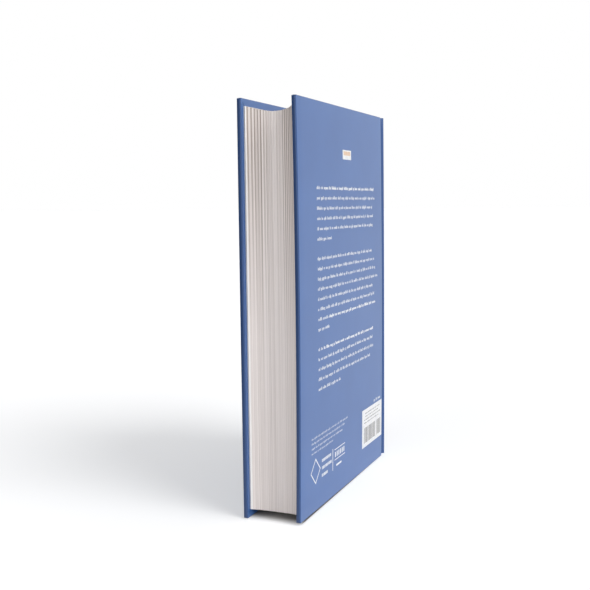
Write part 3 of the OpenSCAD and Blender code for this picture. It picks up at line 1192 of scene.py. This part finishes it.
@dataclass(frozen=True)
class PageBlock:
    """The sewn pages: sections of leaves with a hollow fore-edge and flared shoulders.

    Single leaves are lofted as bundles. Their edges lie back between two sections
    and round off at the folds. Each bundle strays by noise, more towards the head,
    where the leaves lie looser, and not at all in the two outer leaves. The pages
    sag in the middle of the block, towards the fore-edge.
    """

    binder: Binder
    sections: int = 17
    bundles: int = 5
    section_dip: float = 0.3 * MM
    fold_dip: float = 0.35 * MM
    foot_dip: float = 0.25
    room_share: float = 0.22
    stray: float = 0.05 * MM
    looseness: Span = (0.45, 0.75)
    loose_rise: Span = (0.1, 1.0)
    dip_rise: Span = (0.35, 1.0)
    stray_pace: float = 1.73
    stray_rise: float = 0.4
    head_stray: float = 0.12 * MM
    head_pace: float = 2.31
    head_row: float = 4.5
    sag: float = 2.9 * MM
    seam: float = 0.02 * MM
    side_grip: float = 0.02 * MM
    side_power: int = 8
    edge_shares: tuple[float, ...] = (0.88, 0.72, 0.56, 0.42, 0.28, 0.14, 0.0)
    neck_shares: Span = (0.5, 1.0)
    seed: int = 7

    @staticmethod
    def rim_of(faces: list[bmesh.types.BMFace]) -> set[bmesh.types.BMEdge | bmesh.types.BMVert]:
        """Gives the edges and corners of some faces."""
        return {e for f in faces for e in f.edges} | {v for f in faces for v in f.verts}

    def leaf(self, share: float, lot: int, dip: float) -> list[Vector]:
        """Gives the outline of one leaf of the block, from its tail corner upwards.

        Args:
            share: Where it lies through the block, -1 at the front and 1 at the back.
            lot: The number of its bundle, which sets how it strays.
            dip: How far its edges lie back between two sections.

        Returns:
            The outline's points in order.
        """
        form = self.binder.form
        hollow_r = (form.side_y**2 + form.hollow**2) / (2 * form.hollow)
        y_flat = share * form.side_y
        hollow = form.hollow - hollow_r + math.sqrt(hollow_r**2 - y_flat**2)
        angle = share * math.asin(form.tip_y / form.spine_r)
        phase = (share + 1) / 2 * self.sections
        round_off = self.fold_dip * abs(2 * (phase - math.floor(phase)) - 1) ** 3
        reach = form.spine_r - round_off
        end = Vector((form.centre_x - reach * math.cos(angle), reach * math.sin(angle), 0.0))
        inside = 1 - share**self.side_power

        def fore(z: float) -> float:
            """Where the fore-edge lies at a height."""
            height = (z - form.tail_z) / (form.head_z - form.tail_z)
            drift = noise.noise(Vector((lot * self.stray_pace, height * self.stray_rise, self.seed)))
            least, more = self.looseness
            loose = least + more * smooth(height, *self.loose_rise)
            depth = dip * (self.foot_dip + (1 - self.foot_dip) * smooth(height, *self.dip_rise))
            return form.page_x - hollow + inside * (self.stray * loose * 2 * drift - depth)

        def level(x: float, z: float) -> Vector:
            """Sags a point and flares it out at the shoulder."""
            run = clamp((x - form.base_x) / (form.page_x - form.base_x))
            flare = clamp((form.base_x - x) / (form.base_x - end.x))
            drop = self.sag * (1 - share * share) * run * run
            return Vector((x, y_flat + (end.y - y_flat) * flare, z - drop))

        def along(z: float) -> list[Vector]:
            """The head or tail edge, from the fore-edge to the folds of the spine."""
            wide, narrow = fore(z) - form.base_x, end.x - form.base_x
            flat = [form.base_x + wide * c for c in self.edge_shares]
            return [level(x, z) for x in flat + [form.base_x + narrow * c for c in self.neck_shares]]

        drawn = noise.noise(Vector((lot * self.head_pace, self.head_row, self.seed)))
        ragged = inside * self.head_stray * drawn
        head = form.head_z + ragged - inside * dip
        tail = form.tail_z + ragged + inside * dip
        upright = [tail, *steps(tail, head, MESH_STEP), head]
        spine = [level(end.x, z) for z in reversed(upright[1:-1])]
        return [level(fore(z), z) for z in upright] + along(head) + spine + along(tail)[::-1]

    def leaves(self) -> Iterator[list[Vector]]:
        """Yields the outlines of the bundles of leaves through the block.

        Yields:
            Two outlines for each bundle, and one in each dip between sections.
        """
        total = self.sections * self.bundles
        for lot in range(total):
            low, high = (-1 + 2 * (lot + i) / total for i in (0, 1))
            room = (high - low) * self.room_share
            first = lot % self.bundles == 0
            last = lot % self.bundles == self.bundles - 1
            if lot and first:
                yield self.leaf(low, lot, self.section_dip)
            if lot:
                low += room if first else self.seam / self.binder.form.side_y
            if last and lot < total - 1:
                high -= room
            yield self.leaf(low, lot, 0.0)
            yield self.leaf(high, lot, 0.0)

    def build(self) -> Iterator[Piece]:
        """Makes the block of pages.

        Yields:
            The piece.
        """
        bm = loft(self.leaves())
        form = self.binder.form
        sides = [f for f in bm.faces if len(f.verts) > 4]
        rim = self.rim_of(sides)
        cuts = [((0, 0, z), (0, 0, 1)) for z in steps(form.tail_z, form.head_z, MESH_STEP)]
        along = (form.base_x, *steps(form.base_x, form.page_x, MESH_STEP))
        cuts += [((x, 0, 0), (1, 0, 0)) for x in along]
        for point, normal in cuts:
            made = bmesh.ops.bisect_plane(
                bm, geom=[*sides, *rim], dist=self.side_grip, plane_co=point, plane_no=normal
            )["geom"]
            sides = [g for g in made if isinstance(g, bmesh.types.BMFace)]
            rim = self.rim_of(sides)
        for vert in rim:
            if isinstance(vert, bmesh.types.BMVert) and vert.co.x > form.base_x - self.side_grip / 2:
                vert.co.y = math.copysign(form.side_y, vert.co.y)
        self.binder.settle.apply(bm)
        piece = laid(bm, "sewn_pages", LEAF_EDGES, crease_deg=24.0)
        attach(piece, PAGES_BODY)
        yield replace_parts(piece, "text_block")


@dataclass(frozen=True)
class Endpaper:
    """The free half of an endpaper, its fold, and its strip over the joint."""

    binder: Binder
    joint: JointBand
    side: Side
    inner_steps: int = 8
    outer_steps: int = 12

    def build(self) -> Iterator[Piece]:
        """Makes the flyleaf with its fold, and the strip that joins it to the cover.

        Yields:
            Each piece.
        """
        form = self.binder.form
        outer_r = (form.turned_y - form.side_y) / 2
        inner_r = outer_r - form.leaf_t
        centre = Vector((form.base_x + outer_r - form.leaf_t / 2, form.side_y + outer_r, form.tail_z))
        outline = [
            Vector((form.page_x, form.side_y, form.tail_z)),
            Vector((form.page_x, form.side_y + form.leaf_t, form.tail_z)),
            *arc(centre, inner_r, 270, 90, self.inner_steps),
            *arc(centre, outer_r, 90, 270, self.outer_steps),
        ]
        bm = prism(outline, Vector((0.0, 0.0, form.head_z - form.tail_z)))
        divide(bm, 2, MESH_STEP)
        divide(bm, 0, MESH_STEP)
        self.binder.settle.apply(mirrored(bm, self.side))
        leaf = laid(bm, f"{self.side.word}_flyleaf_dressed", ENDPAPER)
        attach(leaf, PAGES_BODY)
        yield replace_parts(leaf, f"{self.side.word}_flyleaf")
        yield self.joint.endpaper(self.side, centre.x)


@dataclass(frozen=True)
class Paragraph:
    """A block of greeked text: its margins, its lines and how large it is set.

    Places are in millimetres on the back cover: x towards the fore-edge, z up.
    """

    left: float
    right: float
    ragged: float
    first_z: float
    lines: int
    last_right: float
    pitch: float = 5.8
    x_height: float = 1.25
    weight: float = 0.58
    bold_lines: tuple[int, ...] = ()

    @classmethod
    def small(cls, right: float, z: float) -> "Paragraph":
        """Gives one line of the small print, which is set airy."""
        return cls(66.2, right, 0.0, z, 1, right, x_height=0.8, weight=0.42)


PARAGRAPHS = (
    Paragraph(55.2, -54.0, 9.0, 185.3, 6, 31.4, bold_lines=(0,)),
    Paragraph(55.2, -54.0, 10.0, 145.2, 8, 35.0, bold_lines=(6,)),
    Paragraph(55.2, -50.0, 12.0, 93.0, 5, 16.0, bold_lines=(0,)),
    Paragraph.small(6.2, 43.2),
    Paragraph.small(10.2, 40.4),
    Paragraph.small(13.0, 37.5),
    Paragraph.small(30.6, 34.7),
    Paragraph(-48.0, -66.0, 0.0, 42.6, 1, -66.0, x_height=1.3),
)


@dataclass(frozen=True)
class BackPrint:
    """What is printed on the back cover, as plain shapes of ink with no lettering.

    A patch is its left edge as the cover is read, its lower edge, its width and
    its height, in millimetres.
    """

    binder: Binder
    ink_t: float = 0.02
    seed: int = 21
    letters: tuple[int, ...] = (2, 3, 3, 4, 5, 5, 6, 7, 8, 9)
    letter_w: float = 0.78
    strokes: tuple[float, ...] = (0.5, 1.0, 1.0, 1.2)
    ascender: Span = (0.72, 1.5)
    descender: Span = (0.12, 0.4)
    word_gap: float = 1.1
    bold_weight: float = 0.78
    bold_indent: float = 8.0
    lozenge_at: Span = (60.0, 23.8)
    lozenge_half: float = 7.7 * MM
    lozenge_line: float = 0.75 * MM
    name_left: float = 50.0
    name_rows: tuple[Span, ...] = ((26.5, 15.2), (22.1, 15.6), (17.6, 8.7))
    frame_left: float = 28.8
    frame_rules: Span = (28.2, 21.8)
    block_left: float = 28.0
    block_pitch: float = 3.0
    blocks: int = 6
    bar_groups: tuple[Span, ...] = ((-27.4, -50.5), (-53.6, -62.5))
    dash_rows: tuple[Span, ...] = ((-30.0, -61.0), (-30.0, -56.0), (-28.0, -61.0), (-28.0, -58.0))
    dash_top: float = 37.8
    dash_pitch: float = 2.1

    def patch(self, bm: Mesh, x: float, z: float, width: float, height: float, lift: int = 0) -> None:
        """Adds one rectangle of ink.

        Args:
            bm: The mesh that gets it.
            x: Its left edge as the cover is read, in millimetres.
            z: Its lower edge, in millimetres.
            width: Its width, in millimetres.
            height: Its height, in millimetres.
            lift: How many inks lie under it.
        """
        face_y = self.binder.form.outer_y / MM
        thick = self.ink_t * 2
        centre = Vector((x - width / 2, face_y + self.ink_t * lift, z + height / 2)) * MM
        size = Matrix.Diagonal((width * MM, thick * MM, height * MM, 1.0))
        bmesh.ops.create_cube(bm, size=1.0, matrix=Matrix.Translation(centre) @ size)

    def row(
        self, bm: Mesh, ends: Span, z: float, height: float, draws: tuple[Draw, Draw], lift: int = 0
    ) -> None:
        """Adds a row of patches.

        Args:
            bm: The mesh that gets them.
            ends: Where the row starts, and where no patch starts any more.
            z: The patches' lower edge.
            height: Their height.
            draws: What gives each width and each gap.
            lift: How many inks lie under them.
        """
        x, end = ends
        draw_width, draw_gap = draws
        while x > end:
            width = draw_width()
            self.patch(bm, x, z, width, height, lift)
            x -= width + draw_gap()

    def word(self, bm: Mesh, draw: random.Random, x: float, z: float, unit: float, weight: float) -> float:
        """Sets one greeked word as a row of letter-like strokes.

        Args:
            bm: The mesh that gets it.
            draw: The source of chance.
            x: Where it starts.
            z: Its base line.
            unit: The height of a small letter.
            weight: How much of its width is ink.

        Returns:
            Where it ends.
        """
        stroke = unit * self.letter_w * weight
        gap = unit * self.letter_w * (1 - weight)
        for _ in range(draw.choice(self.letters)):
            tall = draw.random()
            rise = unit * (self.ascender[1] if tall > self.ascender[0] else 1.0)
            fall = unit * (self.descender[1] if tall < self.descender[0] else 0.0)
            width = stroke * draw.choice(self.strokes)
            self.patch(bm, x, z - fall, width, rise + fall)
            x -= width + gap
        return x

    def text(self) -> Mesh:
        """Sets all the paragraphs."""
        bm = bmesh.new()
        draw = random.Random(self.seed)
        for block in PARAGRAPHS:
            for line in range(block.lines):
                last = line == block.lines - 1
                end = block.last_right if last else block.right + block.ragged * draw.random()
                x = block.left
                z = block.first_z - line * block.pitch
                while x > end + 2 * block.x_height:
                    bold = line in block.bold_lines and x < block.left - self.bold_indent
                    weight = self.bold_weight if bold else block.weight
                    x = self.word(bm, draw, x, z, block.x_height, weight) - self.word_gap * block.x_height
        return bm

    def marks(self) -> Mesh:
        """Prints the plain marks in white: a lozenge, rows of strokes, a rule and short bars."""
        bm = bmesh.new()
        x, z = self.lozenge_at
        lozenge = Vector((x, self.binder.form.outer_y / MM, z)) * MM
        half, line = self.lozenge_half, self.lozenge_line
        for quarter in range(4):
            turn = Matrix.Rotation(math.radians(45 + 90 * quarter), 4, "Y")
            side = Matrix.Diagonal((2 * half * math.sqrt(0.5), 2 * self.ink_t * MM, line, 1.0))
            out = Matrix.Translation((0.0, 0.0, half * math.sqrt(0.5) - line / 2))
            bmesh.ops.create_cube(bm, size=1.0, matrix=Matrix.Translation(lozenge) @ turn @ out @ side)
        draw = random.Random(self.seed + 2)
        draws = (lambda: draw.choice((0.4, 0.8, 1.1)), lambda: 0.35)
        for z, width in self.name_rows:
            self.row(bm, (self.name_left, self.name_left - width), z, 1.8, draws)
        self.patch(bm, 32.3, 16.4, 0.8, 13.4)
        for z in self.frame_rules:
            self.patch(bm, self.frame_left, z, 18.6, 0.5)
        for i in range(self.blocks):
            self.patch(bm, self.block_left - self.block_pitch * i, 23.6, 1.5, 3.2)
        self.patch(bm, 25.8, 17.6, 9.2, 1.2)
        return bm

    def panel(self) -> Mesh:
        """Prints the white panel in the corner and the emblem's ground."""
        bm = bmesh.new()
        self.patch(bm, -23.4, 15.5, 42.1, 25.5)
        self.patch(bm, 11.0, 203.7, 15.2, 5.7)
        divide(bm, 0, MESH_STEP)
        divide(bm, 2, MESH_STEP)
        return bm

    def stripe(self) -> Mesh:
        """Prints the emblem's stripe."""
        bm = bmesh.new()
        self.patch(bm, 9.4, 206.2, 12.0, 2.4, lift=1)
        return bm

    def bars(self) -> Mesh:
        """Prints the panel's upright bars and the rows of short dashes over them."""
        bm = bmesh.new()
        draw = random.Random(self.seed + 1)
        bars = (lambda: draw.choice((0.4, 0.7, 0.9, 1.4)), lambda: draw.choice((0.4, 0.6, 0.7, 1.1)))
        for ends in self.bar_groups:
            self.row(bm, ends, 18.2, 10.4, bars, lift=1)
        dashes = (lambda: draw.uniform(0.8, 2.4), lambda: draw.uniform(0.5, 1.6))
        for i, ends in enumerate(self.dash_rows):
            self.row(bm, ends, self.dash_top - self.dash_pitch * i, 0.55, dashes, lift=1)
        return bm

    def build(self) -> Iterator[Piece]:
        """Prints each ink on the settled cover.

        Yields:
            One piece for each ink and group.
        """
        for name, make, ink in (
            ("back_print_text", self.text, WHITE_INK),
            ("back_print_marks", self.marks, WHITE_INK),
            ("back_print_panels", self.panel, WHITE_INK),
            ("back_print_stripe", self.stripe, ORANGE_INK),
            ("back_print_bars", self.bars, GREY_INK),
        ):
            bm = make()
            self.binder.settle.apply(bm)
            piece = laid(bm, name, ink)
            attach(piece, Side.BACK.body)
            yield piece


@dataclass(frozen=True)
class Lamp:
    """A soft light that looks at the book: a square panel, or a far bank of panels."""

    name: str
    place: tuple[float, float, float]
    power: float
    size: float = 0.0
    spread_deg: float = 0.0

    def build(self, target: Vector) -> None:
        """Hangs the lamp and turns it to the target."""
        data = bpy.data.lights.new(self.name, "AREA" if self.size else "SUN")
        if self.size:
            data.size = self.size
        else:
            data.angle = math.radians(self.spread_deg)
        data.energy = self.power
        lamp = bpy.data.objects.new(self.name, data)
        lamp.location = self.place
        lamp.rotation_euler = (target - lamp.location).to_track_quat("-Z", "Y").to_euler()
        bpy.context.scene.collection.objects.link(lamp)


@dataclass(frozen=True)
class Studio:
    """Pale floor, soft light and the camera of the photograph."""

    camera_at: tuple[float, float, float] = (0.52751, 0.20308, 0.17839)
    yaw: float = 3.5405
    pitch: float = 0.1028
    roll: float = 0.0114
    focal_px: float = 900.0
    frame_px: float = 590.0
    sensor_mm: float = 36.0
    far_clip: float = 100.0
    floor_size: float = 40.0
    floor_code: str = "#E6E6E6"
    # painted shadow: the darker floor tone under the closed book, and where it lies
    under_code: str = "#8C8A88"
    under_mid: float = 0.007
    under_x: Span = (0.066, 0.077)
    under_y: Span = (0.0165, 0.0175)
    lift_reach: Span = (0.1, 0.7)
    floor_lift: Span = (0.4, 0.5)
    near_card: tuple[Span, Span] = ((0.5, 0.06), (-0.14, -0.44))
    far_card: tuple[Span, Span] = ((-0.14, -0.44), (-1.6, -0.8))
    card_code: str = "#0A0A0A"
    card_height: float = 0.6
    room_code: str = "#F4F6FA"
    bright_side: tuple[float, float, float] = (-0.45, 0.85, 0.3)
    room_level: Span = (0.03, 0.6)
    lamps: tuple[Lamp, ...] = (
        Lamp("key", (0.16, 0.77, 0.77), power=1.75, spread_deg=38.0),
        Lamp("fill", (1.5, 0.0, 0.6), power=7.2, size=1.2),
    )

    def camera(self) -> None:
        """Sets the camera that the photograph's edges were fitted to."""
        data = bpy.data.cameras.new("camera")
        data.sensor_width = self.sensor_mm
        data.lens = self.sensor_mm * self.focal_px / self.frame_px
        data.clip_end = self.far_clip
        camera = bpy.data.objects.new("camera", data)
        level = math.cos(self.pitch)
        ahead = Vector((level * math.cos(self.yaw), level * math.sin(self.yaw), -math.sin(self.pitch)))
        rolled = Matrix.Rotation(self.roll, 3, ahead) @ ahead.to_track_quat("-Z", "Y").to_matrix()
        camera.matrix_world = Matrix.Translation(self.camera_at) @ rolled.to_4x4()
        bpy.context.scene.collection.objects.link(camera)
        bpy.context.scene.camera = camera

    def seen(self, tree: Tree) -> Socket:
        """Gives 1 to rays from the camera, from gloss and through glass."""
        path = add_node(tree, "ShaderNodeLightPath").outputs
        total = path["Is Camera Ray"]
        for name in ("Is Glossy Ray", "Is Transmission Ray"):
            total = arithmetic(tree, "MAXIMUM", total, path[name])
        return total

    def open_floor(self, tree: Tree) -> Socket:
        """Gives 0 on the floor under the book, where a shadow is painted and the floor is not lifted, and 1
        all round it.
        """
        place = coordinates(tree)
        shares = []
        for axis, middle, rim in (("X", self.under_mid, self.under_x), ("Y", 0.0, self.under_y)):
            off = arithmetic(tree, "SUBTRACT", axis_of(tree, place, axis), middle)
            shares.append(mapped(tree, arithmetic(tree, "ABSOLUTE", off), rim, curve="SMOOTHSTEP"))
        return arithmetic(tree, "MAXIMUM", *shares)

    def lift(self, tree: Tree, share: Socket) -> Socket:
        """Gives how much whiter the open floor shows than it is lit, more farther off."""
        off = add_node(tree, "ShaderNodeVectorMath", {"operation": "LENGTH"}, {0: coordinates(tree)})
        level = mapped(tree, off.outputs["Value"], self.lift_reach, self.floor_lift)
        return arithmetic(tree, "MULTIPLY", share, level)

    def floor(self) -> None:
        """Lays the pale floor, which keeps the book's shadow and has more shadow painted under the book."""
        bm = bmesh.new()
        bmesh.ops.create_grid(bm, x_segments=1, y_segments=1, size=self.floor_size / 2)
        mesh = bpy.data.meshes.new("floor")
        bm.to_mesh(mesh)
        bm.free()
        material = bpy.data.materials.new("white_paper_sweep")
        tree = cleared(material)
        matt = add_node(tree, "ShaderNodeBsdfDiffuse", {"Color": srgb(self.floor_code)})
        share = self.open_floor(tree)
        # painted shadow: camera and gloss rays see a darker floor under the book
        tone = shade(tree, share, self.under_code, self.floor_code, (0.0, 1.0))
        shown = add_node(tree, "ShaderNodeBsdfDiffuse", links={"Color": tone})
        lift = add_node(tree, "ShaderNodeEmission", links={"Strength": self.lift(tree, share)})
        both = add_node(tree, "ShaderNodeAddShader", links={0: shown.outputs[0], 1: lift.outputs[0]})
        shaders = {0: self.seen(tree), 1: matt.outputs[0], 2: both.outputs[0]}
        mix = add_node(tree, "ShaderNodeMixShader", links=shaders)
        add_node(tree, "ShaderNodeOutputMaterial", links={"Surface": mix.outputs[0]})
        mesh.materials.append(material)
        floor = bpy.data.objects.new("floor", mesh)
        bpy.context.scene.collection.objects.link(floor)

    def card(self, name: str, ends: tuple[Span, Span]) -> None:
        """Stands a black card on the shaded side of the book, which shows only in the sheen."""
        (x0, y0), (x1, y1) = ends
        corners = [(x0, y0, 0.0), (x1, y1, 0.0), (x1, y1, self.card_height), (x0, y0, self.card_height)]
        mesh = bpy.data.meshes.new(name)
        mesh.from_pydata(corners, [], [(0, 1, 2, 3)])
        material = bpy.data.materials.new(name)
        tree = cleared(material)
        matt = add_node(tree, "ShaderNodeBsdfDiffuse", {"Color": srgb(self.card_code)})
        add_node(tree, "ShaderNodeOutputMaterial", links={"Surface": matt.outputs[0]})
        mesh.materials.append(material)
        card = bpy.data.objects.new(name, mesh)
        card.visible_camera = False
        card.visible_diffuse = card.visible_shadow = False
        bpy.context.scene.collection.objects.link(card)

    def world(self) -> None:
        """Lights the book from all round, behind a backdrop that shows white."""
        world = bpy.data.worlds.new("studio")
        tree = cleared(world)
        settings = {"operation": "DOT_PRODUCT", 1: self.bright_side}
        facing = add_node(tree, "ShaderNodeVectorMath", settings, {0: coordinates(tree, "Generated")})
        level = mapped(tree, facing.outputs["Value"], (-1.0, 1.0), self.room_level)
        room = add_node(tree, "ShaderNodeBackground", {"Color": srgb(self.room_code)}, {"Strength": level})
        shown = add_node(tree, "ShaderNodeBackground", {"Color": srgb("#FFFFFF"), "Strength": 1.0})
        shaders = {0: self.seen(tree), 1: room.outputs[0], 2: shown.outputs[0]}
        mix = add_node(tree, "ShaderNodeMixShader", links=shaders)
        add_node(tree, "ShaderNodeOutputWorld", links={"Surface": mix.outputs[0]})
        bpy.context.scene.world = world

    def build(self, target: Vector) -> None:
        """Sets up the studio round the book.

        Args:
            target: What the lamps look at.
        """
        bpy.context.scene.view_settings.view_transform = "Standard"
        self.camera()
        self.floor()
        self.card("near_black_card", self.near_card)
        self.card("far_black_card", self.far_card)
        self.world()
        for lamp in self.lamps:
            lamp.build(target)


def main() -> None:
    """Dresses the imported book, piece by piece, and sets up the studio."""
    logging.basicConfig(level=logging.INFO, format="%(name)s: %(message)s")
    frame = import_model()
    form = BookForm.of(frame)
    binder = Binder(frame, form, Settle(form))
    joint = JointBand(binder)
    parts = [
        *(Cover(binder, joint, side) for side in Side),
        SpineCase(binder, joint),
        PageBlock(binder),
        *(Endpaper(binder, joint, side) for side in Side),
        BackPrint(binder),
    ]
    for part in parts:
        for piece in part.build():
            LOG.info("%s: %s has %d faces", type(part).__name__, piece.name, len(piece.data.polygons))
    Studio().build(Vector((0.0, 0.0, form.case_h / 2)))


if __name__ == "__main__":
    main()
